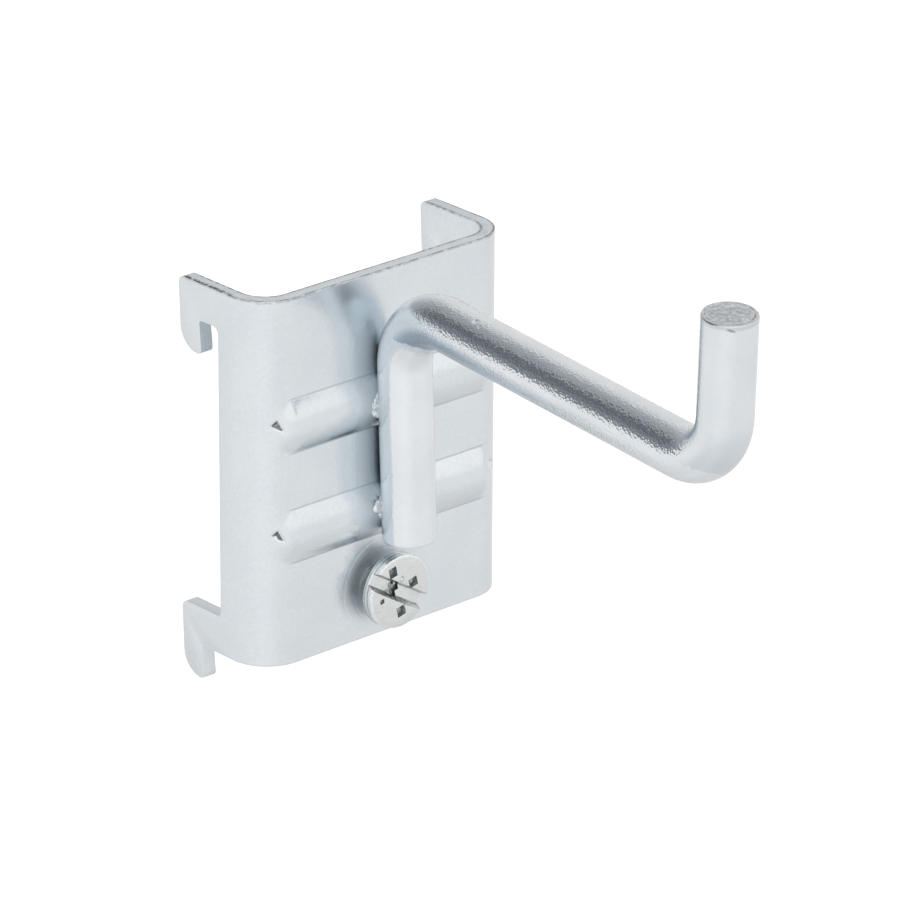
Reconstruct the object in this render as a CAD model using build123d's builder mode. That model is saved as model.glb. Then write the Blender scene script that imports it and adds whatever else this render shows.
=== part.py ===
from build123d import *
from math import cos, radians, sin, sqrt, tan
import os

# Pegboard hook: a folded sheet bracket with four claws, a bent round bar welded
# across its two beads, and a screw that presses on the board and locks the hook.
# The board's face is the plane y = 0, +Y goes into the board, +Z is up, and z = 0
# is where the lower claws hang. The fold is symmetric about x = 0.

# Board
board_pitch = 38.0
claw_slot = 3.15

# Folded sheet
sheet = 1.6
plate_width = 36.0
channel_depth = 6.9
bend_inside = 3.2

# Claws
claw_reach = 6.5
claw_neck = 4.25
lower_neck = 4.45
claw_drop = 3.95
claw_lean = 0.4
claw_taper = 0.35
heel_round = 0.9
tip_back_round = 2.6
tip_front_round = 0.7
slot_round = 0.9
notch_round = 0.5
edge_bevel = 0.15

# Beads pressed out of the plate
bead_width = 6.15
bead_height = 0.9
bead_spacing = 12.75
lower_bead_z = 14.9
bead_end_inset = 2.65
bead_end_round = 0.7
bead_corner_round = 2.2
bead_root = 1.0
groove_narrowing = 0.7
groove_end_inset = 1.0
groove_root = 0.5
pinch_dia = 0.8
pinch_length = 1.1
pinch_x = 15.5
pinch_front = 6.65
pinch_rise = 0.4

# Round bar
rod_dia = 6.0
rod_x = -0.25
rod_setdown = 0.5
rod_seat_gap = 0.03
rod_foot_z = 11.95
rod_corner_z = 39.75
rod_lean = 2.1
arm_turn = 1.1
arm_length = 50.0
arm_drop = 4.2
tip_length = 17.9
tip_lean = 3.9
rear_bend = 7.1
front_bend = 6.3
rod_end_bevel = 0.2

# Welds
weld_reach = 2.95
weld_height = 3.4
weld_bulge = 0.55
weld_corner_round = 1.1

# Locking screw
screw_dia = 5.0
screw_x = -0.8
screw_z = 5.7
screw_length = 8.0
screw_standoff = 1.2
screw_run_gap = 0.05
head_dia = 8.5
head_height = 1.9
head_neck_dia = 7.4
head_rim_round = 0.6
slot_turn = -31.5
slot_cut_width = 1.3
slot_cut_depth = 1.1
cross_span = 4.9
cross_width = 1.1
cross_depth = 1.7
cross_taper = 12.0
thread_chamfer = 0.5
hole_lead = 0.5

# What follows from them
plate_height = board_pitch + claw_neck
bend_outside = bend_inside + sheet
upper_bead_z = lower_bead_z + bead_spacing
bead_heights = (lower_bead_z, upper_bead_z)
bead_reach = plate_width / 2 - bead_end_inset
rod_radius = rod_dia / 2
rod_y = -(channel_depth + bead_height - rod_setdown + rod_radius)
weld_mid_z = (lower_bead_z + upper_bead_z) / 2
hole_radius = screw_dia / 2
shank_radius = hole_radius - screw_run_gap
head_seat_y = -(channel_depth + screw_standoff)


def arc_crown(width, height):
    """Radius of the arc that rises by height over a chord of the given width."""
    return (width**2 / 4 + height**2) / (2 * height)


def bead_form(width, height, reach, root, corner_round):
    """A ridge along X of shallow arc section, bulging towards -Y from a sunk root."""
    crown = arc_crown(width, height)
    root_half = sqrt(crown**2 - (crown - height - root) ** 2)
    with BuildPart() as form:
        with BuildSketch(Plane.YZ):
            with BuildLine():
                ThreePointArc((root, -root_half), (-height, 0), (root, root_half))
                Line((root, root_half), (root, -root_half))
            make_face()
        extrude(amount=reach, both=True)
        with BuildSketch(Plane.XZ):
            RectangleRounded(2 * reach, width, corner_round)
        extrude(amount=width, both=True, mode=Mode.INTERSECT)
    return form.part


# Bent bar: its line lies in one plane, which leans and turns a little on the welds
bar_plane = Plane(origin=(rod_x, rod_y, weld_mid_z), x_dir=(0, -1, 0), z_dir=(-1, 0, 0))
bar_plane = bar_plane.rotated((0, -rod_lean, -arm_turn))
arm_angle = radians(arm_drop)
tip_angle = radians(tip_lean)
foot_rise = rod_foot_z - weld_mid_z
corner_rise = rod_corner_z - weld_mid_z
front_out = arm_length * cos(arm_angle)
front_rise = corner_rise - arm_length * sin(arm_angle)
tip_out = front_out + tip_length * sin(tip_angle)
tip_rise = front_rise + tip_length * cos(tip_angle)

with BuildPart() as hook_rod:
    with BuildLine(bar_plane) as bar_line:
        bar_corners = [(0, foot_rise), (0, corner_rise), (front_out, front_rise), (tip_out, tip_rise)]
        FilletPolyline(*bar_corners, radius=[rear_bend, front_bend])
    with BuildSketch(Plane(origin=bar_line.line @ 0, z_dir=bar_line.line % 0)):
        Circle(rod_radius)
    sweep()
    bar_ends = hook_rod.faces().filter_by(GeomType.PLANE)
    chamfer(bar_ends.edges(), length=rod_end_bevel)

# The bar's leg, a touch larger, as the seat that it presses into the beads
with BuildPart() as rod_seat:
    with BuildSketch(Plane(origin=bar_line.line @ 0, z_dir=bar_line.line % 0)):
        Circle(rod_radius + rod_seat_gap)
    extrude(amount=plate_height)

# One bead's ridge, its crest eased into its ends
with BuildPart() as ridge:
    add(bead_form(bead_width, bead_height, bead_reach, bead_root, bead_corner_round))
    crest_rim = ridge.edges().filter_by(Axis.X, reverse=True).filter_by(Axis.Y, reverse=True)
    chamfer(crest_rim.filter_by(lambda edge: edge.center().Y < bead_root / 2), length=bead_end_round)

# Slanting pinches that the folding left across the ends of the beads
with BuildPart() as pinches:
    for side in (-1, 1):
        for bead_z in bead_heights:
            pinch_spot = (side * pinch_x, -pinch_front, bead_z + pinch_rise)
            with Locations(Plane(origin=pinch_spot, x_dir=(side, -2, 0), z_dir=(side, 2, 2))):
                Cylinder(pinch_dia / 2, pinch_length)

# Folded bracket
with BuildPart() as bracket:
    with BuildSketch(Plane.XY.offset(-claw_drop)):
        for half_width, front, bend in (
            (plate_width / 2, -channel_depth, bend_outside),
            (plate_width / 2 - sheet, sheet - channel_depth, bend_inside),
        ):
            with BuildLine():
                FilletPolyline(
                    (-half_width, claw_reach),
                    (-half_width, front),
                    (half_width, front),
                    (half_width, claw_reach),
                    radius=bend,
                )
                Line((half_width, claw_reach), (-half_width, claw_reach))
            make_face(mode=Mode.ADD if bend == bend_outside else Mode.SUBTRACT)
    extrude(amount=claw_drop + plate_height)

    # Side view: the flange with an upper and a lower claw
    with BuildSketch(Plane.YZ):
        corners = [((-channel_depth, plate_height), 0), ((-channel_depth, 0), 0)]
        for seat_z, neck in ((0, lower_neck), (board_pitch, claw_neck)):
            corners += [
                ((0, seat_z), slot_round if seat_z else 0),
                ((claw_slot, seat_z), notch_round),
                ((claw_slot - claw_lean, seat_z - claw_drop), tip_front_round),
                ((claw_reach - claw_taper, seat_z - claw_drop), tip_back_round),
                ((claw_reach, seat_z + neck), heel_round),
                ((0, seat_z + neck), 0 if seat_z else notch_round),
            ]
        with BuildLine():
            FilletPolyline(*[at for at, _ in corners], radius=[bend for _, bend in corners], close=True)
        make_face()
    extrude(amount=plate_width / 2, both=True, mode=Mode.INTERSECT)

    # Sheared rims, leaving the edges across the sheet and the seams of the bends
    rims = bracket.edges().filter_by(lambda edge: round(edge.length, 3) not in (sheet, plate_height))
    chamfer(rims, length=edge_bevel)

    # Beads, each with its groove behind
    for bead_z in bead_heights:
        add(Pos(0, -channel_depth, bead_z) * ridge.part)
    groove_width = bead_width - 2 * groove_narrowing
    groove_reach = bead_reach - groove_end_inset
    groove = bead_form(groove_width, bead_height, groove_reach, groove_root, bead_end_round)
    for bead_z in bead_heights:
        add(Pos(0, sheet - channel_depth, bead_z) * groove, mode=Mode.SUBTRACT)
    add(pinches.part, mode=Mode.SUBTRACT)
    add(rod_seat.part, mode=Mode.SUBTRACT)

    # Tapped hole, plain here, with the lead-in that starts the screw
    with Locations(Plane(origin=(screw_x, -channel_depth, screw_z), z_dir=(0, -1, 0))):
        CounterSinkHole(hole_radius, hole_radius + hole_lead, depth=sheet, counter_sink_angle=90)

# Weld metal squeezed out on both sides of the leg where it crosses each bead
with BuildPart() as rod_welds:
    for bead_z in bead_heights:
        leg_x = rod_x - (bead_z - weld_mid_z) * tan(radians(rod_lean))
        flash = bead_form(weld_height, weld_bulge, weld_reach, bead_height, weld_corner_round)
        add(Pos(leg_x, -channel_depth - bead_height, bead_z) * flash)
    add(bracket.part, mode=Mode.SUBTRACT)
    add(rod_seat.part, mode=Mode.SUBTRACT)

# Locking screw, turned about its axis, which runs along Y
screw_plane = Plane(origin=(screw_x, head_seat_y, screw_z), x_dir=(1, 0, 0), z_dir=(0, 0, -1))
face_plane = Plane(origin=(screw_x, head_seat_y - head_height, screw_z), x_dir=(1, 0, 0), z_dir=(0, -1, 0))
rim_start = head_dia / 2 - head_rim_round
with BuildPart() as lock_screw:
    with BuildSketch(screw_plane):
        with BuildLine():
            Polyline(
                (rim_start, head_height),
                (0, head_height),
                (0, -screw_length),
                (shank_radius - thread_chamfer, -screw_length),
                (shank_radius, thread_chamfer - screw_length),
                (shank_radius, 0),
                (head_neck_dia / 2, 0),
                (head_dia / 2, head_height / 4),
                (head_dia / 2, head_height - head_rim_round),
            )
            RadiusArc(
                (head_dia / 2, head_height - head_rim_round), (rim_start, head_height), -head_rim_round
            )
        make_face()
    revolve(axis=Axis(screw_plane.origin, (0, -1, 0)))
    with BuildSketch(face_plane):
        Rectangle(head_dia * 2, slot_cut_width, rotation=slot_turn)
    extrude(amount=-slot_cut_depth, mode=Mode.SUBTRACT)
    with BuildSketch(face_plane):
        for quarter in (45, 135):
            Rectangle(cross_span, cross_width, rotation=slot_turn + quarter)
    extrude(amount=-cross_depth, taper=cross_taper, mode=Mode.SUBTRACT)

os.makedirs("parts", exist_ok=True)
for name, piece in (
    ("bracket", bracket),
    ("hook_rod", hook_rod),
    ("rod_welds", rod_welds),
    ("lock_screw", lock_screw),
):
    piece.part.label = name
    export_step(piece.part, "parts/" + name + ".step")
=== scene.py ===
import math

import bmesh
import bpy
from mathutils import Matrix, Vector, noise


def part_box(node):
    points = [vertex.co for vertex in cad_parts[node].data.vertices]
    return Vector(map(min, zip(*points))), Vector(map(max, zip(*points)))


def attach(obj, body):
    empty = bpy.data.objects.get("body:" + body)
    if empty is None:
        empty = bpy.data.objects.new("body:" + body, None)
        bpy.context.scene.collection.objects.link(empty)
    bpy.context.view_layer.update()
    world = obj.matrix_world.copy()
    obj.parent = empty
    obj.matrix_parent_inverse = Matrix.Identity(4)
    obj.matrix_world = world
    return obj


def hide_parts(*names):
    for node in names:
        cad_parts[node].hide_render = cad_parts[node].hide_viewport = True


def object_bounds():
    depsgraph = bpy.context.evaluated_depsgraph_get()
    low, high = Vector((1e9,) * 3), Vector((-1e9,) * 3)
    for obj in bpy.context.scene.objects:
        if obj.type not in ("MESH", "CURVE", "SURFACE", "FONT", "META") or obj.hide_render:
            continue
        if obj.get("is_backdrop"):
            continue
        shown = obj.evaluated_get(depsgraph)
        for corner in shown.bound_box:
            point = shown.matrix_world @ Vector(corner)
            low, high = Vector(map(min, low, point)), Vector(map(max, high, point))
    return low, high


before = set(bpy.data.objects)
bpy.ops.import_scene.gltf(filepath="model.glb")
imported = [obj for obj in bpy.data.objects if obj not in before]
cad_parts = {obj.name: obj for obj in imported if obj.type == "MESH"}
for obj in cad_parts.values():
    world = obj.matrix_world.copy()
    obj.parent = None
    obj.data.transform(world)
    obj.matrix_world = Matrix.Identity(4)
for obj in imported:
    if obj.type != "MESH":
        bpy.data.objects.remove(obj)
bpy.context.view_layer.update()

mm = 0.001

# The hook hangs above a pale table. The board's face is the plane y = 0, and the bar
# points to -Y. The camera, the table and the lamp are given in metres, the pieces of
# the hook in millimetres.


class Wire:
    # one socket that takes part in Python sums
    def __init__(self, tree, socket=None):
        self.tree, self.socket = tree, socket

    def node(self, kind, settings=None, inputs=None, output=0):
        # any node: its settings first, then the values or links of its sockets
        made = self.tree.nodes.new("ShaderNode" + kind)
        for name, value in (settings or {}).items():
            setattr(made, name, value)
        for name, value in (inputs or {}).items():
            if isinstance(value, Wire):
                self.tree.links.new(value.socket, made.inputs[name])
            else:
                made.inputs[name].default_value = value
        return Wire(self.tree, made.outputs[output] if len(made.outputs) else None)

    def maths(self, operation, first, second=0.0):
        return self.node("Math", {"operation": operation}, {0: first, 1: second})

    def __add__(self, other):
        return self.maths("ADD", self, other)

    def __sub__(self, other):
        return self.maths("SUBTRACT", self, other)

    def __rsub__(self, other):
        return self.maths("SUBTRACT", other, self)

    def __mul__(self, other):
        return self.maths("MULTIPLY", self, other)

    def __truediv__(self, other):
        return self.maths("DIVIDE", self, other)

    def __neg__(self):
        return self.maths("MULTIPLY", self, -1.0)

    def __abs__(self):
        return self.maths("ABSOLUTE", self)

    def __gt__(self, other):
        return self.maths("GREATER_THAN", self, other)

    def __lt__(self, other):
        return self.maths("LESS_THAN", self, other)

    __radd__ = __add__
    __rmul__ = __mul__

    def least(self, other):
        return self.maths("MINIMUM", self, other)

    def most(self, other):
        return self.maths("MAXIMUM", self, other)

    def root(self):
        return self.maths("SQRT", self)

    def ease(self, low, high, fromValue=0.0, toValue=1.0):
        # a soft step between two values
        reach = {"From Min": low, "From Max": high, "To Min": fromValue, "To Max": toValue}
        return self.node("MapRange", {"interpolation_type": "SMOOTHSTEP"}, {"Value": self, **reach})

    def blend(self, first, second):
        # a colour between two, this wire being the share of the second
        colours = {6: rgba(first), 7: rgba(second)}
        return self.node("Mix", {"data_type": "RGBA"}, {0: self, **colours}, 2)

    def cloud(self, scale, detail=2.0, rough=0.5):
        # noise over these coordinates, 0 to 1
        how = {"Scale": scale, "Detail": detail, "Roughness": rough}
        return self.node("TexNoise", inputs={"Vector": self, **how})

    def axes(self):
        split = self.node("SeparateXYZ", inputs={0: self})
        return [Wire(self.tree, out) for out in split.socket.node.outputs]

    def bump(self):
        # a normal from this height in millimetres
        return self.node("Bump", inputs={"Height": self, "Distance": mm, "Strength": 1.0})


def rgba(shade):
    return shade if isinstance(shade, Wire) else (*shade, 1.0)


def band(value, middle, half, soft):
    # 1 within half of the middle, fading to 0 over soft
    return abs(value - middle).ease(half, half + soft, 1.0, 0.0)


def window(value, rise, fall):
    # 1 between two soft edges
    return value.ease(*rise) * value.ease(*fall, 1.0, 0.0)


def between(value, low, high):
    return (value > low) * (value < high)


def gapTo(place, spot):
    return place.node("VectorMath", {"operation": "DISTANCE"}, {0: place, 1: spot}, 1)


def newFinish(name):
    # a metal whose pattern reads the piece's own coordinates, in millimetres
    material = bpy.data.materials.new(name)
    material.use_nodes = True
    shader = material.node_tree.nodes["Principled BSDF"]
    shader.inputs["Metallic"].default_value = 1.0
    start = Wire(material.node_tree)
    spot = start.node("TexCoord", output=3)
    place = start.node("VectorMath", {"operation": "SCALE"}, {0: spot, "Scale": 1 / mm})
    facing = start.node("TexCoord", output=1)
    return material, shader, place, facing


def feed(shader, **values):
    for name, value in values.items():
        shader.id_data.links.new(value.socket, shader.inputs[name.replace("_", " ")])


def dress(piece, material):
    piece.data.materials.clear()
    piece.data.materials.append(material)


def begin(name, adder, stretch=(1, 1, 1), **how):
    # a primitive at its size and place, with nothing else selected
    bpy.ops.object.select_all(action="DESELECT")
    adder(**how)
    piece = bpy.context.object
    piece.name = name
    piece.scale = stretch
    bpy.ops.object.transform_apply(location=True, rotation=True, scale=True)
    return piece


def edit():
    bpy.ops.object.mode_set(mode="EDIT")


def leave():
    bpy.ops.object.mode_set(mode="OBJECT")


def pick(piece, kind, test):
    # selects what passes the test by its middle point and normal, in millimetres
    bpy.ops.mesh.select_mode(type=kind)
    bpy.ops.mesh.select_all(action="DESELECT")
    mesh = bmesh.from_edit_mesh(piece.data)
    parts = {"VERT": mesh.verts, "EDGE": mesh.edges, "FACE": mesh.faces}[kind]
    for part in parts:
        corners = [part] if kind == "VERT" else part.verts
        middle = sum((corner.co for corner in corners), Vector()) / len(corners) / mm
        normal = part.normal if kind != "EDGE" else None
        if test(middle, normal):
            part.select_set(True)
    mesh.select_flush_mode()
    bmesh.update_edit_mesh(piece.data)


def push(x=0.0, y=0.0, z=0.0):
    bpy.ops.mesh.extrude_region_move(TRANSFORM_OT_translate={"value": (x * mm, y * mm, z * mm)})


def closeUp():
    # every normal of the edited mesh points outwards
    bpy.ops.mesh.select_all(action="SELECT")
    bpy.ops.mesh.normals_make_consistent(inside=False)


def finishWith(piece, kind, **how):
    bpy.context.view_layer.objects.active = piece
    modifier = piece.modifiers.new(kind.title(), kind)
    for name, value in how.items():
        setattr(modifier, name, value)
    bpy.ops.object.modifier_apply(modifier=modifier.name)


def cutWith(piece, cutter, operation="DIFFERENCE"):
    finishWith(piece, "BOOLEAN", object=cutter, operation=operation, solver="EXACT")
    bpy.data.objects.remove(cutter)


def roll(piece, width, degrees):
    # narrow rounds along the edges sharper than the angle
    sharp = {"limit_method": "ANGLE", "angle_limit": math.radians(degrees)}
    finishWith(piece, "BEVEL", width=width * mm, segments=2, **sharp)


def join(piece, other):
    # the other object's mesh goes into the piece
    bpy.ops.object.select_all(action="DESELECT")
    other.select_set(True)
    piece.select_set(True)
    bpy.context.view_layer.objects.active = piece
    bpy.ops.object.join()


def smooth(piece, angle):
    bpy.ops.object.select_all(action="DESELECT")
    piece.select_set(True)
    bpy.context.view_layer.objects.active = piece
    bpy.ops.object.shade_smooth_by_angle(angle=math.radians(angle))


def eased(value, low, high):
    share = min(max((value - low) / (high - low), 0.0), 1.0)
    return share * share * (3 - 2 * share)


def melt(first, second, soft):
    # the lower of two heights, with a soft valley between them
    gap = max(soft - abs(first - second), 0.0) / soft
    return min(first, second) - gap * gap * soft / 4


view = {
    "spot": (-0.427616, -0.492674, 0.292588),
    "turn": (67.2526, -0.2899, -41.8253),
    "lens": 260.0,
    "sensor": 36.0,
    "clipStart": 0.02,
}


def makeCamera():
    lens = bpy.data.cameras.new("photoLens")
    lens.sensor_width = view["sensor"]
    lens.lens = view["lens"]
    lens.clip_start = view["clipStart"]
    camera = bpy.data.objects.new("photoCamera", lens)
    camera.location = view["spot"]
    camera.rotation_euler = [math.radians(turn) for turn in view["turn"]]
    bpy.context.scene.collection.objects.link(camera)
    bpy.context.scene.camera = camera
    bpy.context.scene.view_settings.view_transform = "Standard"


# the room that the metal mirrors: turns are radians from +Y towards -X, heights
# are radians above the horizon
room = {
    "tint": (1.04, 1.0, 0.977),
    "cool": (0.93, 1.0, 1.07),
    "bright": 0.85,             # walls and ceiling
    "front": 1.1,               # the wall behind the camera
    "frontEdge": (-0.3, 0.1),
    "upperBack": 0.4,           # the wall above the open side
    "upperBackTurn": ((-0.75, 0.1), (1.2, 1.6)),
    "upperBackTop": (1.1, 1.5),
    "upperBackCool": 0.6,
    "openSide": 0.14,           # the dark side that the bar's upper flank mirrors
    "openFoot": 0.27,           # the same side just above the table
    "openFade": (0.15, 0.65),
    "openTurn": ((0.25, 0.5), (1.3, 1.6)),
    "openHeight": ((-0.02, 0.16), (0.7, 0.88)),
    "table": 1.0,
}


def makeRoom():
    world = bpy.data.worlds.new("studioRoom")
    bpy.context.scene.world = world
    world.use_nodes = True
    world.node_tree.nodes.clear()
    start = Wire(world.node_tree)
    x, y, z = start.node("TexCoord").axes()
    around = start.maths("ARCTAN2", -x, y)
    height = start.maths("ARCSINE", z)
    openSide = window(around, *room["openTurn"]) * window(height, *room["openHeight"])
    upperBack = window(around, *room["upperBackTurn"])
    upperBack = upperBack * height.ease(*room["upperBackTop"], 1.0, 0.0)
    level = room["bright"] + y.ease(*room["frontEdge"], 1.0, 0.0) * (room["front"] - room["bright"])
    level = level + upperBack * (room["upperBack"] - level)
    darkest = height.ease(*room["openFade"], room["openFoot"], room["openSide"])
    level = level + openSide * (darkest - level)
    level = level + (z < 0.0) * (room["table"] - level)
    shade = openSide.most(upperBack * room["upperBackCool"]).blend(room["tint"], room["cool"])
    # the camera sees plain white, the metal sees the room
    seen = start.node("LightPath")
    lit = start.node("Background", inputs={"Color": shade, "Strength": level})
    plain = start.node("Background", inputs={"Color": (1, 1, 1, 1), "Strength": 1.0})
    mixed = start.node("MixShader", inputs={0: seen, 1: lit, 2: plain})
    start.node("OutputWorld", inputs={"Surface": mixed})


# a white card whose own glow keeps it pale
tableForm = {
    "size": 12.0,
    "z": -0.064,
    "card": (0.8, 0.8, 0.8, 1),
    "seen": 0.5,                # its glow as the camera sees it
    "mirrored": 0.21,           # and as the metal mirrors it
    "left": 0.11,               # painted light: more glow on the left
    "front": 0.06,              # painted light: more glow towards the camera
    "frontOver": 0.9,
    "foot": 0.14,               # painted shadow: less glow under the hook
    "paintedShadowReach": (0.05, 0.2),
}


def makeTable():
    form = tableForm
    table = begin(
        "paleTable", bpy.ops.mesh.primitive_plane_add, size=form["size"], location=(0, 0, form["z"])
    )
    table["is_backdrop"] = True
    material = bpy.data.materials.new("paleCard")
    material.use_nodes = True
    material.node_tree.nodes.clear()
    start = Wire(material.node_tree)
    seen = start.node("LightPath", output=0)
    mirrored = start.node("LightPath", output=3)
    x, y, z = start.node("TexCoord", output=3).axes()
    far = (x * x + y * y + 1e-6).root()     # never nothing, since it divides below
    # the glow the metal mirrors holds painted light on the left and front, and a painted shadow
    # under the hook
    level = form["mirrored"] + (-x / far).ease(0.0, 1.0) * form["left"]
    level = level + (-y / far).ease(0.0, form["frontOver"]) * form["front"]
    level = level - far.ease(*form["paintedShadowReach"], 1.0, 0.0) * form["foot"]
    level = seen * form["seen"] + mirrored * level
    shade = start.node("VectorMath", {"operation": "SCALE"}, {0: room["tint"], "Scale": level})
    card = start.node("BsdfDiffuse", inputs={"Color": form["card"]})
    glow = start.node("Emission", inputs={"Color": shade, "Strength": 1.0})
    both = start.node("AddShader", inputs={0: card, 1: glow})
    start.node("OutputMaterial", inputs={"Surface": both})
    dress(table, material)


lampForm = {
    "spot": (-0.25, -0.45, 0.75),
    "size": 0.6,
    "power": 0.35,
}


def makeLamp():
    lamp = bpy.data.lights.new("softBox", "AREA")
    lamp.shape = "DISK"
    lamp.size = lampForm["size"]
    lamp.energy = lampForm["power"]
    softBox = bpy.data.objects.new("softBox", lamp)
    softBox.location = lampForm["spot"]
    softBox.rotation_euler = (-softBox.location).to_track_quat("-Z", "Y").to_euler()
    bpy.context.scene.collection.objects.link(softBox)


makeCamera()
makeRoom()
makeTable()
makeLamp()
print("camera, room, table and lamp are in place")


low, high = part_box("bracket")
sheetForm = {
    "thick": 1.6,
    "front": -6.9,
    "halfWidth": high.x / mm,
    "top": high.z / mm,
    "bottom": low.z / mm,
    "reach": 6.496,
    "bend": 4.8,
    "rows": 190,
    "rowGap": 0.08,
    "columns": 40,
    "bendSteps": 40,
    "claws": ((0.0, 4.45), (38.0, 4.25)),   # seat height and neck
    "slot": 3.15,
    "slotLean": 0.4,
    "slotRound": 0.9,
    "backLean": 0.35,
    "drop": 3.95,
    "tipBack": 2.6,
    "tipFront": 0.7,
    "heel": 0.9,
    "notch": 0.5,
    "rimRoll": 0.16,
    "beads": (14.9, 27.65),
    "beadsBefore": -2.6,
    "beadHalf": 3.075,
    "beadHeight": 0.9,
    "upperSlope": 1.6,
    "creaseRows": (-0.2, -0.1, -0.05, 0.0, 0.05, 0.1, 0.2),
    "creaseSoft": 0.06,
    "endSoft": 0.3,                 # softer still towards the beads' ends
    "endSoftOver": (13.6, 15.6),
    "fadeFrom": (13.1, 12.9),       # where the left and the right ends begin to sink
    "fadeOver": 1.9,
    "pinch": ((15.25, 1.05), (15.85, 0.35), (14.75, -0.35)),    # a wedge beside each bead's end
    "pinchRows": [-0.8 + 0.15 * row for row in range(15)],
    "pinchesBefore": -4.0,
    "pinchDepth": 0.28,
    "pinchEdge": 0.14,
    "hole": (-0.8, 5.7, 2.5),
}
sheetForm["flat"] = sheetForm["halfWidth"] - sheetForm["bend"]      # the plate ends here
sheetForm["flange"] = sheetForm["front"] + sheetForm["bend"]        # and the flanges begin here


def sheetOutline():
    # the side view as a block, corners rounded one size at a time
    form = sheetForm
    ahead, blockHalf = form["front"] * 1.5, 30      # clear of the sheet on every side
    corners = [(ahead, form["top"], 0), (ahead, 0, 0)]
    for seat, neck in form["claws"]:
        tip = seat - form["drop"]
        corners += [
            (0, seat, form["slotRound"] if seat else 0),
            (form["slot"], seat, form["notch"]),
            (form["slot"] - form["slotLean"], tip, form["tipFront"]),
            (form["reach"] - form["backLean"], tip, form["tipBack"]),
            (form["reach"], seat + neck, form["heel"]),
            (0, seat + neck, form["notch"]),
        ]
    corners.pop()       # the upper claw runs straight on into the sheet's top
    block = begin(
        "sideBlock", bpy.ops.mesh.primitive_circle_add, vertices=len(corners), radius=blockHalf * mm
    )
    for corner, (y, z, _) in zip(block.data.vertices, corners):
        corner.co = (-blockHalf * mm, y * mm, z * mm)
    edit()
    for size in sorted({corner[2] for corner in corners} - {0}):
        spots = [(y, z) for y, z, corner in corners if corner == size]
        pick(
            block,
            "VERT",
            lambda middle, normal: any(math.dist(middle[1:], spot) < 1e-3 for spot in spots),
        )
        bpy.ops.mesh.bevel(offset=size * mm, segments=8, affect="VERTICES", offset_type="OFFSET")
    bpy.ops.mesh.select_all(action="SELECT")
    bpy.ops.mesh.edge_face_add()
    push(x=2 * blockHalf)
    closeUp()
    leave()
    return block


def beadFront(x, z):
    # how far forward the pressed beads reach at a place
    form = sheetForm
    half, height = form["beadHalf"], form["beadHeight"]
    crown = (half**2 + height**2) / (2 * height)
    best = math.inf
    for middle in form["beads"]:
        across = abs(z - middle)
        if across < crown:
            rise = math.sqrt(crown**2 - across**2) - crown + height
            if z > middle and across < half:
                # the upper slope is the flatter one
                rise = height * (1 - (across / half) ** form["upperSlope"])
            fade = max(abs(x) - form["fadeFrom"][x > 0], 0.0) / form["fadeOver"]
            best = min(best, form["front"] - rise + height * fade * fade)
    return best


def rowHeights():
    # even rows up the sheet, with close ones along the beads' creases and pinches
    form = sheetForm
    close = [
        middle + side * form["beadHalf"] + step
        for middle in form["beads"]
        for side in (-1, 1)
        for step in form["creaseRows"]
    ]
    close += [middle + step for middle in form["beads"] for step in form["pinchRows"]]
    span = form["top"] - form["bottom"]
    even = [form["bottom"] + span * row / form["rows"] for row in range(form["rows"] + 1)]
    apart = [row for row in even if min(abs(row - other) for other in close) > form["rowGap"]]
    return sorted(close + apart)


def pinchAt(x, z):
    # how deep the metal is pinched in beside the beads' ends, from 0 to 1
    form = sheetForm
    corners = form["pinch"]
    deepest = 0.0
    for middle in form["beads"]:
        inside = math.inf
        for (fromX, fromZ), (toX, toZ) in zip(corners, corners[1:] + corners[:1]):
            along = Vector((toX - fromX, toZ - fromZ)).normalized()
            off = Vector((abs(x) - fromX, z - middle - fromZ))
            inside = min(inside, along.y * off.x - along.x * off.y)
        deepest = max(deepest, eased(inside, -form["pinchEdge"], form["pinchEdge"]))
    return deepest


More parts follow.
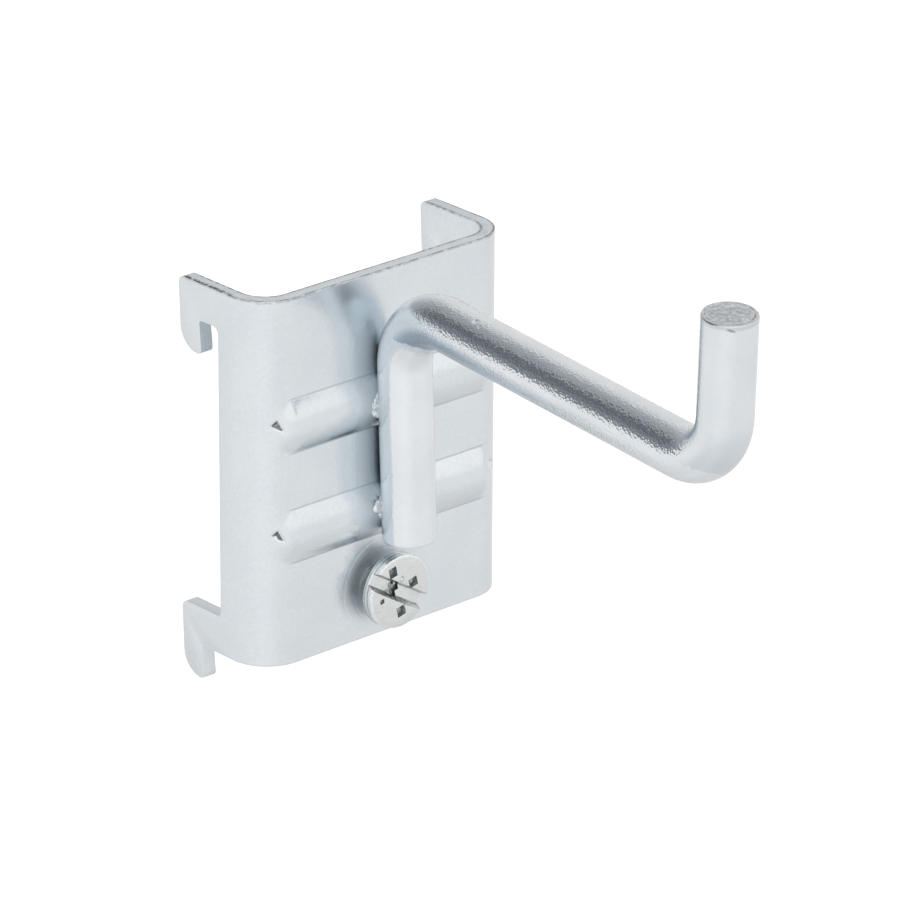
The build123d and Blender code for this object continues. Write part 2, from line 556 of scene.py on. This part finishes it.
def makeSheet():
    form = sheetForm
    flat, flange = form["flat"], form["flange"]
    outer = form["halfWidth"] - 0.001
    height = form["top"] - form["bottom"]
    middleSkin = form["bend"] - form["thick"] / 2
    rows = rowHeights()
    sheet = begin(
        "foldedSheet",
        bpy.ops.mesh.primitive_grid_add,
        x_subdivisions=form["columns"],
        y_subdivisions=len(rows) - 1,
        size=1.0,
        stretch=(2 * flat * mm, height * mm, 1),
        rotation=(math.radians(90), 0, 0),
        location=(0, form["front"] * mm, (form["top"] + form["bottom"]) / 2 * mm),
    )
    for corner in sheet.data.vertices:
        share = (corner.co.z / mm - form["bottom"]) / height
        corner.co.z = rows[round(share * (len(rows) - 1))] * mm
    edit()
    for side in (-1, 1):
        pick(sheet, "EDGE", lambda middle, normal: side * middle.x > flat - 0.01)
        bpy.ops.mesh.spin(
            steps=form["bendSteps"],
            angle=-math.radians(90) * side,
            center=(side * flat * mm, flange * mm, 0),
            axis=(0, 0, 1),
        )
        pick(sheet, "EDGE", lambda middle, normal: side * middle.x > outer)
        push(y=form["reach"] - form["front"] - form["bend"])
        pick(sheet, "FACE", lambda middle, normal: side * middle.x > outer and middle.y > flange)
        bpy.ops.mesh.dissolve_faces()
    bpy.ops.mesh.select_all(action="SELECT")
    bpy.ops.mesh.remove_doubles(threshold=0.01 * mm)
    closeUp()
    leave()
    mesh = sheet.data
    if sum(face.normal.y for face in mesh.polygons) > 0:
        mesh.flip_normals()
    for corner in mesh.vertices:
        x, y, z = corner.co / mm
        if y < form["beadsBefore"]:
            soft = form["creaseSoft"] + form["endSoft"] * eased(abs(x), *form["endSoftOver"])
            corner.co.y = melt(y, beadFront(x, z), soft) * mm
    finishWith(sheet, "SOLIDIFY", thickness=form["thick"] * mm, offset=-1.0, use_even_offset=True)
    # the pinches dent the outer skin only
    for corner in mesh.vertices:
        x, y, z = corner.co / mm
        inward = Vector((math.copysign(flat, x) - x, flange - y, 0))
        if abs(x) > flat and inward.y > 0 and inward.length > middleSkin:
            corner.co += inward.normalized() * pinchAt(x, z) * form["pinchDepth"] * mm
    cutWith(sheet, sheetOutline(), "INTERSECT")
    holeX, holeZ, holeRadius = form["hole"]
    drill = begin(
        "drill",
        bpy.ops.mesh.primitive_cylinder_add,
        vertices=64,
        radius=holeRadius * mm,
        depth=6 * mm,
        rotation=(math.radians(90), 0, 0),
        location=(holeX * mm, form["front"] * mm, holeZ * mm),
    )
    cutWith(sheet, drill)
    roll(sheet, form["rimRoll"], 50)
    smooth(sheet, 28)
    # the finish finds the pinches by this mark and paints shade into them
    pressed = sheet.data.attributes.new("pressed", "FLOAT", "POINT")
    for corner, mark in zip(sheet.data.vertices, pressed.data):
        x, y, z = corner.co / mm
        outside = y < form["pinchesBefore"] and math.hypot(abs(x) - flat, y - flange) > middleSkin
        mark.value = pinchAt(x, z) if outside else 0.0
    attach(sheet, "bracket")
    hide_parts("bracket")
    return sheet


foldedSheet = makeSheet()
print("folded sheet:", len(foldedSheet.data.polygons), "faces")


barForm = {
    "radius": 2.992,
    "sides": 72,
    "steps": 28,
    "foot": (0.09, -10.3, 11.96),
    "corners": ((-0.93, -10.3, 39.74), (-1.75, -60.16, 36.04)),
    "bends": (7.1, 6.3),
    "end": (-2.42, -61.369, 53.888),
    "endRound": 0.22,
    "endRing": 0.4,         # keeps the rims' shading off the long sides
    "insets": (0.3, 0.35, 0.35),
    "sawnLeast": 0.55,      # the least and the uneven share of the rims' rounding
    "sawnMore": 0.9,
    "sawnScale": 0.9,
}


def makeBar():
    form = barForm
    points = [Vector(at) for at in (form["foot"], *form["corners"], form["end"])]
    ways = [(after - before).normalized() for before, after in zip(points, points[1:])]
    bar = begin(
        "bentBar",
        bpy.ops.mesh.primitive_circle_add,
        vertices=form["sides"],
        radius=form["radius"] * mm,
        fill_type="NGON",
        rotation=ways[0].to_track_quat("Z", "Y").to_euler(),
        location=points[0] * mm,
    )
    edit()
    bpy.ops.mesh.select_all(action="SELECT")
    push(*(ways[0] * form["endRing"]))
    reached = points[0] + ways[0] * form["endRing"]
    for corner, bend, before, after in zip(points[1:], form["bends"], ways, ways[1:]):
        turn = before.angle(after)
        tangent = bend * math.tan(turn / 2)
        push(*(corner - before * tangent - reached))
        axis = before.cross(after).normalized()
        middle = corner - before * tangent + axis.cross(before) * bend
        bpy.ops.mesh.spin(steps=form["steps"], angle=-turn, center=middle * mm, axis=axis)
        reached = corner + after * tangent
    push(*(points[-1] - ways[-1] * form["endRing"] - reached))
    push(*(ways[-1] * form["endRing"]))
    bpy.ops.mesh.select_all(action="SELECT")
    bpy.ops.mesh.remove_doubles(threshold=0.005 * mm)
    closeUp()
    ends = [points[0], points[-1]]
    pick(bar, "FACE", lambda middle, normal: any((middle - end).length < 0.5 for end in ends))
    for share in form["insets"]:
        bpy.ops.mesh.inset(thickness=form["endRound"] * share * mm, use_individual=True)
    leave()
    # both rims are rounded, a little unevenly
    for corner in bar.data.vertices:
        for end, out in ((points[0], -ways[0]), (points[-1], ways[-1])):
            offset = corner.co / mm - end
            along = offset.dot(out)
            rim = form["endRound"] - form["radius"] + (offset - out * along).length
            if abs(along) < 0.05 and rim > 0:
                drop = form["endRound"] - math.sqrt(max(form["endRound"] ** 2 - rim**2, 0.0))
                uneven = abs(noise.noise(corner.co / mm * form["sawnScale"]))
                corner.co -= out * drop * (form["sawnLeast"] + form["sawnMore"] * uneven) * mm
    smooth(bar, 50)
    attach(bar, "bracket")
    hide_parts("hook_rod")
    return bar


bentBar = makeBar()
print("bent bar:", len(bentBar.data.polygons), "faces")


weldForm = {
    "half": (2.8, 0.45, 1.9),
    "places": ((-0.02, -7.86, 15.35), (-0.49, -7.86, 27.3)),
    "ragged": 0.42,
    "lumps": ((1.3, 1.0), (3.1, 0.7), (7.0, 0.3)),      # how close and how strong
    "sunk": 0.25,
}


def makeWelds():
    form = weldForm
    lumps = [
        begin(
            "weldFlash",
            bpy.ops.mesh.primitive_ico_sphere_add,
            subdivisions=5,
            radius=1.0,
            stretch=[half * mm for half in form["half"]],
            location=[value * mm for value in spot],
        )
        for spot in form["places"]
    ]
    join(*lumps)
    welds = lumps[0]
    low, high = (Vector(corner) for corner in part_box("rod_welds"))
    for corner in welds.data.vertices:
        at = corner.co / mm
        middle = min((Vector(spot) for spot in form["places"]), key=lambda spot: (spot - at).length)
        away = (at - middle).normalized()
        step = sum(share * noise.noise(at * scale) for scale, share in form["lumps"]) - form["sunk"]
        corner.co += away * step * form["ragged"] * mm
        held = zip(corner.co, low, high)
        corner.co = Vector(min(max(value, least), most) for value, least, most in held)
    smooth(welds, 60)
    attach(welds, "bracket")
    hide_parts("rod_welds")
    return welds


weldFlash = makeWelds()
print("weld metal:", len(weldFlash.data.polygons), "faces")


screwForm = {
    "at": (-0.8, 5.7),
    "sides": 96,
    "radius": 4.25,
    "barrel": (-9.62, -8.55),
    "crown": ((4.17, -9.81), (3.98, -9.88), (3.2, -9.94), (1.8, -9.985), (0.9, -9.998)),
    "face": -10.0,
    "neck": (3.85, -8.1),
    "core": 2.03,
    "end": -0.1,
    "endCone": 0.45,
    "slotTurn": -31.5,
    "slotOpening": (-1.1, 0.92),     # from the middle, across the slot, at the face
    "slotFloor": (-0.58, 0.62),
    "slotDepth": 1.05,
    "crossShift": (-0.55, 0.13),
    # the cross's pockets: turn from the slot, start, end, width and depth
    "pockets": (
        (45, -0.95, 0.95, 0.9, 1.6),
        (135, -0.95, 0.95, 0.9, 1.6),
        (45, 1.75, 2.95, 1.1, 0.75),
        (135, 1.95, 3.1, 1.1, 0.75),
        (225, 1.95, 2.5, 0.55, 0.5),
        (315, 1.85, 3.05, 1.2, 0.75),
    ),
    "crossTaper": 0.85,
    "cutterRise": 0.5,
    "dimple": (0.12, 1.5, 0.32),
    "dimpleRise": 0.05,
    "edgeBevel": 0.05,
    "pitch": 0.8,
    "root": 1.8,
    "crest": 2.44,
    "crestHalf": 0.06,
    "rootHalf": 0.36,
    "threadFrom": -7.72,
    "turns": 9,
    "runOut": 0.9,
}


def turned(x, z, degrees):
    # a place on the head's face, turned about the screw's axis
    cos, sin = math.cos(math.radians(degrees)), math.sin(math.radians(degrees))
    return x * cos - z * sin + screwForm["at"][0], x * sin + z * cos + screwForm["at"][1]


def recessCutter(name, reach, opening, floor, depth, degrees, shift=(0, 0)):
    # a long block through the face that narrows towards its floor
    face, rise = screwForm["face"], screwForm["cutterRise"]
    cutter = begin(name, bpy.ops.mesh.primitive_cube_add, size=2 * mm)
    for corner in cutter.data.vertices:
        upper = corner.co.z > 0
        x, y, z = reach[corner.co.x > 0], face + depth, floor[upper]
        if corner.co.y < 0:
            # the outer end stands above the face, on the same slopes
            y, z = face - rise, opening[upper] + (opening[upper] - floor[upper]) * (rise / depth)
        x, z = turned(x, z, degrees)
        corner.co = Vector((x + shift[0], y, z + shift[1])) * mm
    return cutter


def makeThread():
    # one crest drawn as a closed outline, then wound along the screw's axis
    form = screwForm
    root, crest = form["root"], form["crest"]
    flank, flat = form["rootHalf"], form["crestHalf"]
    outline = ((root, -flank), (crest, -flat), (crest, flat), (root, flank))
    thread = begin("thread", bpy.ops.mesh.primitive_circle_add, vertices=len(outline), radius=mm)
    for corner, (out, along) in zip(thread.data.vertices, outline):
        corner.co = Vector((out, form["threadFrom"] + along, 0)) * mm
    winding = {"axis": "Y", "steps": 48, "render_steps": 48, "iterations": form["turns"]}
    finishWith(thread, "SCREW", screw_offset=form["pitch"] * mm, **winding)
    edit()
    bpy.ops.mesh.select_all(action="SELECT")
    bpy.ops.mesh.fill_holes(sides=4)
    closeUp()
    leave()
    # the last turns run out into the screw's end
    for corner in thread.data.vertices:
        x, y, z = corner.co / mm
        radius = math.hypot(x, z)
        most = form["core"] - 0.1 + max((form["end"] - y) * form["runOut"], 0.0)
        if radius > most:
            x, z = x * most / radius, z * most / radius
        corner.co = Vector((x + form["at"][0], min(y, form["end"]), z + form["at"][1])) * mm
    return thread


def makeScrew():
    form = screwForm
    atX, atZ = form["at"]
    front, back = form["barrel"]
    screw = begin(
        "lockScrew",
        bpy.ops.mesh.primitive_cylinder_add,
        vertices=form["sides"],
        radius=form["radius"] * mm,
        depth=(back - front) * mm,
        rotation=(math.radians(90), 0, 0),
        location=(atX * mm, (back + front) / 2 * mm, atZ * mm),
    )
    edit()
    pick(screw, "FACE", lambda middle, normal: normal.y < -0.9)
    radius, reached = form["radius"], front
    for nextRadius, nextY in form["crown"]:
        bpy.ops.mesh.inset(thickness=(radius - nextRadius) * mm, depth=(reached - nextY) * mm)
        radius, reached = nextRadius, nextY
    pick(screw, "FACE", lambda middle, normal: normal.y > 0.9)
    neck, under = form["neck"]
    bpy.ops.mesh.inset(thickness=(form["radius"] - neck) * mm, depth=(under - back) * mm)
    bpy.ops.mesh.inset(thickness=(neck - form["core"]) * mm)
    push(y=form["end"] - form["endCone"] - under)
    bpy.ops.mesh.inset(thickness=form["endCone"] * mm, depth=form["endCone"] * mm)
    leave()
    ends = (-3 * form["radius"], 3 * form["radius"])
    slotForm = form["slotOpening"], form["slotFloor"], form["slotDepth"]
    cutWith(screw, recessCutter("slotCutter", ends, *slotForm, form["slotTurn"]))
    for turn, start, end, width, depth in form["pockets"]:
        opening = (-width / 2, width / 2)
        floor = [side * form["crossTaper"] for side in opening]
        degrees = form["slotTurn"] + turn
        pocket = recessCutter(
            "crossCutter", (start, end), opening, floor, depth, degrees, form["crossShift"]
        )
        cutWith(screw, pocket)
    x, z, radius = form["dimple"]
    ball = begin(
        "dimpleBall",
        bpy.ops.mesh.primitive_ico_sphere_add,
        subdivisions=3,
        radius=radius * mm,
        location=((atX + x) * mm, (form["crown"][-1][1] - form["dimpleRise"]) * mm, (atZ + z) * mm),
    )
    cutWith(screw, ball)
    roll(screw, form["edgeBevel"], 35)
    join(screw, makeThread())
    smooth(screw, 32)
    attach(screw, "screw")
    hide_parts("lock_screw")
    return screw


lockScrew = makeScrew()
print("locking screw:", len(lockScrew.data.polygons), "faces")


zinc = {
    "colour": (0.715, 0.775, 0.815),
    "dull": (0.675, 0.735, 0.78),
    # dark: also the colour of the painted shade in the sheet's creases and pinches and of the
    # painted shadow under the bar's chip
    "dark": (0.12, 0.13, 0.14),
    "spread": (0.38, 0.62),         # the clouds' values that make the whole range of tones
}

sheetLook = {
    "rough": 0.17,
    "shearRough": 0.4,
    "grain": 0.012,
    "plateHeights": (2.0, 35.0),    # no sheared edge across the sheet between these
    "clawsFrom": (16.0, -1.9),      # the claws' rims lie outside and behind these
    "frontSkin": -6.5,
    "linesAbove": 42.06,
    "outerLine": (4.68, 0.04, 0.14),
    "innerLine": (3.32, 0.04, 0.16),
    "burrLine": (4.5, 0.12, 0.2),
    "burrFrom": (-2.5, -1.0),
    "paintedCreaseShade": 0.28,
    "creaseOut": 0.05,
    "creaseLine": (0.03, 0.14),
    "creaseDepths": (-7.4, -6.6),
    "creaseEnd": (13.4, 14.4),
    "glint": (-15.5, 15.05),
    "glintLine": (0.1, 0.2),
    "dings": (15.5, 1.3, 0.4),
    "dingsFrom": (-3.5, 41.95),
    "scuffed": 0.2,
    "scuffedOver": (4.5, 7.0),      # from the screw's axis
    "heated": (-3.3, 0.5, 1.6),     # beside the welded leg
    "heatedHeights": (10.0, 36.0),
    "rings": (3.15, 4.25, 5.6),
    "ringLine": (0.05, 0.12),
}


def fromScrewAxis(x, z):
    offX, offZ = x - screwForm["at"][0], z - screwForm["at"][1]
    return (offX * offX + offZ * offZ).root()


def sheetFinish():
    look = sheetLook
    material, shader, place, facing = newFinish("zincOnSheet")
    drift = place.cloud(0.16, 3.0)
    grain = place.cloud(2.6, 3.0, 0.7)
    fleck = place.cloud(1.5, 4.0, 0.75)
    ragged = fleck.ease(0.42, 0.56)
    x, y, z = place.axes()
    nx, ny, nz = facing.axes()
    side, behind = look["clawsFrom"]
    topOrBottom = (abs(nz) > 0.6) * (1.0 - between(z, *look["plateHeights"]))
    sheared = topOrBottom + (abs(nx) < 0.4) * (y > behind) * (abs(x) > side)
    tone = (drift * 0.4 + grain * 0.6).ease(*zinc["spread"]).blend(zinc["colour"], zinc["dull"])
    # dark lines along both edges of the sheared top, ragged where the blade burred them
    turnX = (abs(x) - sheetForm["flat"]).most(0.0)
    turnY = (sheetForm["flange"] - y).most(0.0)
    through = (turnX * turnX + turnY * turnY).root()
    outer = band(through, *look["outerLine"]) * (0.2 + ragged * 0.6)
    inner = band(through, *look["innerLine"]) * (0.15 + ragged * 0.6)
    burr = band(through, *look["burrLine"]) * (x < 0.0) * y.ease(*look["burrFrom"]) * ragged * 0.8
    lines = (outer + inner + burr) * (z > look["linesAbove"])
    # painted shade: thin dark lines along the creases at the pressed beads' edges
    paintedCreaseShade = 0.0
    edgeOfBead = sheetForm["beadHalf"] + look["creaseOut"]
    for middle in sheetForm["beads"]:
        paintedCreaseShade = band(abs(z - middle), edgeOfBead, *look["creaseLine"]) + paintedCreaseShade
    paintedCreaseShade = paintedCreaseShade * between(y, *look["creaseDepths"]) * abs(x).ease(*look["creaseEnd"], 1.0, 0.0)
    # painted shade in the pinches beside the beads' ends, fainter on the right and spared at one
    # glint
    pressed = place.node("Attribute", {"attribute_name": "pressed"}, output=2).ease(0.35, 0.75)
    glintX, glintZ = look["glint"]
    glint = band(x, glintX, *look["glintLine"]) * band(z, glintZ, *look["glintLine"])
    pressed = pressed * (0.15 + (x < 0.0) * 0.8) * fleck.ease(0.3, 0.5, 0.6, 1.0) * (1.0 - glint)
    # painted shade in the creases and pinches, with the dark lines of the sheared top, darkens the
    # tone
    tone = (paintedCreaseShade * look["paintedCreaseShade"] + pressed + lines).least(1.0).blend(tone, zinc["dark"])
    # dented corners of the top, scuffs round the screw and heat beside the leg
    dingedY, dingedZ = look["dingsFrom"]
    dinged = (z > dingedZ) * (y < dingedY) * band(abs(x), *look["dings"])
    fromScrew = fromScrewAxis(x, z)
    heated = band(x, *look["heated"]) * between(z, *look["heatedHeights"])
    scuffed = fromScrew.ease(*look["scuffedOver"], 1.0, 0.0).most(heated) * (y < look["frontSkin"])
    rings = 0.0
    for ring in look["rings"]:
        rings = band(fromScrew, ring, *look["ringLine"]) + rings
    rough = look["rough"] + drift * 0.04 + grain * 0.06 + scuffed * look["scuffed"]
    rough = rough + sheared * (look["shearRough"] - look["rough"])
    height = grain * look["grain"] + sheared * fleck * 0.03
    height = height + dinged * ragged * 0.05 - rings * fleck * 0.02
    feed(shader, Base_Color=tone, Roughness=rough, Normal=height.bump())
    return material


barLook = {
    "colour": (0.765, 0.815, 0.85),
    "dull": (0.725, 0.78, 0.82),
    "shadedBend": (0.36, 0.43, 0.5),
    "biteFrom": (-12.0, 35.9),      # in front of and above these
    "biteFade": (-34.0, -15.0),
    "rough": 0.12,
    "sawnRough": 0.25,
    "grain": 0.034,
    "grainScale": 3.6,
    "legEnds": (-16.0, -12.5),      # fine grain on the arm, little on the leg and the tip
    "tipBegins": (-60.5, -56.0),
    "grainLeast": 0.25,
    "sawnAbove": 53.0,
    "lipLine": (2.55, 0.02, 0.1),
    "rimLine": (2.98, 0.02, 0.06),
    "lipRidge": (2.75, 0.1, 0.15),
    "chip": (-4.36, -63.58, 53.16),
    "chipLean": 0.4,
    "chipLine": (0.02, 0.2),
    "chipOver": (0.15, 0.65),
    "chipDark": 0.6,
    "pits": (((-2.21, -23.2, 41.6), 0.45, 0.1), ((-2.5, -24.2, 41.3), 0.35, 0.05)),
}


def barFinish():
    look = barLook
    material, shader, place, facing = newFinish("zincOnBar")
    x, y, z = place.axes()
    nx, ny, nz = facing.axes()
    drift = place.cloud(0.2, 3.0)
    net = {"Vector": place, "Scale": look["grainScale"]}
    cells = place.node("TexVoronoi", {"feature": "F1"}, net)
    grain = cells + place.cloud(2.5, 2.0) * 0.8
    fleck = place.cloud(1.8, 4.0, 0.7)
    tone = (drift * 0.6 + fleck * 0.4).ease(*zinc["spread"]).blend(look["colour"], look["dull"])
    # painted shade on the bend's inner side, darker where it faces down, reaching down to the
    # ragged bite of the bending tool
    biteY, biteZ = look["biteFrom"]
    above = z + x * 0.3 + fleck * 0.9 - biteZ
    fading = y.ease(*look["biteFade"], 0.25, 1.0) * nz.ease(-0.3, 0.15, 1.0, 0.0)
    tone = ((above > 0.0) * (y < biteY) * fading).blend(tone, look["shadedBend"])
    # the sawn end and its lip
    atTop = z > look["sawnAbove"]
    sawn = (nz > 0.7) * atTop
    cut = fleck.ease(0.35, 0.65)
    out = gapTo(place, barForm["end"])
    lip = band(out, *look["lipLine"]) * cut.ease(0.3, 0.7, 0.15, 0.5)
    lip = (lip + band(out, *look["rimLine"]) * 0.25) * atTop
    # the painted shadow under the chip in the lip
    chipX, chipY, chipZ = look["chip"]
    lean = look["chipLean"]
    chip = band(z + x * lean, chipZ + chipX * lean, *look["chipLine"])
    chip = chip * gapTo(place, look["chip"]).ease(*look["chipOver"], look["chipDark"], 0.0)
    # the sawn end's own darker metal and its lip, with the painted shadow under the chip
    sawnWearAndChipShadow = sawn * cut * out.ease(1.9, 2.5, 0.42, 0.1) + lip + chip * (1.0 - sawn)
    tone = sawnWearAndChipShadow.least(0.9).blend(tone, zinc["dark"])
    rough = look["rough"] + drift * 0.05 + sawn * look["sawnRough"]
    least = look["grainLeast"]
    grained = y.ease(*look["legEnds"], 1.0, least) * y.ease(*look["tipBegins"], least, 1.0)
    height = grain * grained * look["grain"] * (1.0 - sawn)
    height = height + sawn * (cut * 0.2 + band(out, *look["lipRidge"]) * fleck * 0.3)
    for spot, radius, depth in look["pits"]:
        height = height - gapTo(place, spot).ease(0.0, radius, 1.0, 0.0) * depth
    feed(shader, Base_Color=tone, Roughness=rough, Normal=height.bump())
    return material


screwLook = {
    "colour": (0.685, 0.73, 0.735),
    # the rim's lighter colour is worn metal and a painted highlight
    "rim": (0.8, 0.84, 0.85),
    "rimFrom": (3.9, 4.15),
    # the colour of the painted shade in the recess
    "pocket": (0.26, 0.28, 0.28),
    "headOver": (3.95, 4.15),
    "headBefore": -8.3,
    "wallDark": 0.45,
    "floorsBehind": -8.88,
    "slotFloorLine": (-9.25, 0.03, 0.03),
    "rings": ((-8.75, 0.05, 0.1), (-9.2, 0.04, 0.12)),
    "ringsOutside": 4.15,
    "rough": 0.1,
}


def screwFinish():
    look = screwLook
    material, shader, place, facing = newFinish("zincOnScrew")
    grain = place.cloud(3.2, 3.0, 0.65)
    patches = place.cloud(0.8, 3.0)
    x, y, z = place.axes()
    nx, ny, nz = facing.axes()
    away = fromScrewAxis(x, z)
    # the head's rim is lighter: worn metal, and a painted highlight where its rounding catches the
    # light
    tone = away.ease(*look["rimFrom"]).blend(look["colour"], look["rim"])
    # painted shade on the walls and floors in the recess
    inHead = away.ease(*look["headOver"], 1.0, 0.0) * (y < look["headBefore"])
    walls = abs(ny).ease(0.4, 0.9, 1.0, 0.0) * inHead * look["wallDark"]
    floors = (y > look["floorsBehind"]) + band(y, *look["slotFloorLine"])
    floors = floors * inHead * grain.ease(0.35, 0.6, 0.4, 0.9)
    # two darker lines round the head's barrel
    first, second = look["rings"]
    rings = (band(y, *first) + band(y, *second)) * (away > look["ringsOutside"])
    rings = rings * grain.ease(0.35, 0.6, 0.4, 0.8)
    tone = (walls + floors + rings).least(0.9).blend(tone, look["pocket"])
    rough = look["rough"] + patches * 0.12
    height = grain * 0.03 + patches * 0.2
    feed(shader, Base_Color=tone, Roughness=rough, Normal=height.bump())
    return material


weldLook = {
    "colour": (0.86, 0.9, 0.92),
    "rough": 0.15,
    "lumps": 0.15,
}


def weldFinish():
    look = weldLook
    material, shader, place, facing = newFinish("weldMetal")
    lumps = place.cloud(2.6, 4.0, 0.7)
    tone = lumps.ease(0.4, 0.6).blend(look["colour"], zinc["dull"])
    rough = look["rough"] + lumps * 0.2
    feed(shader, Base_Color=tone, Roughness=rough, Normal=(lumps * look["lumps"]).bump())
    return material


dress(foldedSheet, sheetFinish())
dress(bentBar, barFinish())
dress(weldFlash, weldFinish())
dress(lockScrew, screwFinish())
print("zinc finishes are on every piece")

low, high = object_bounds()
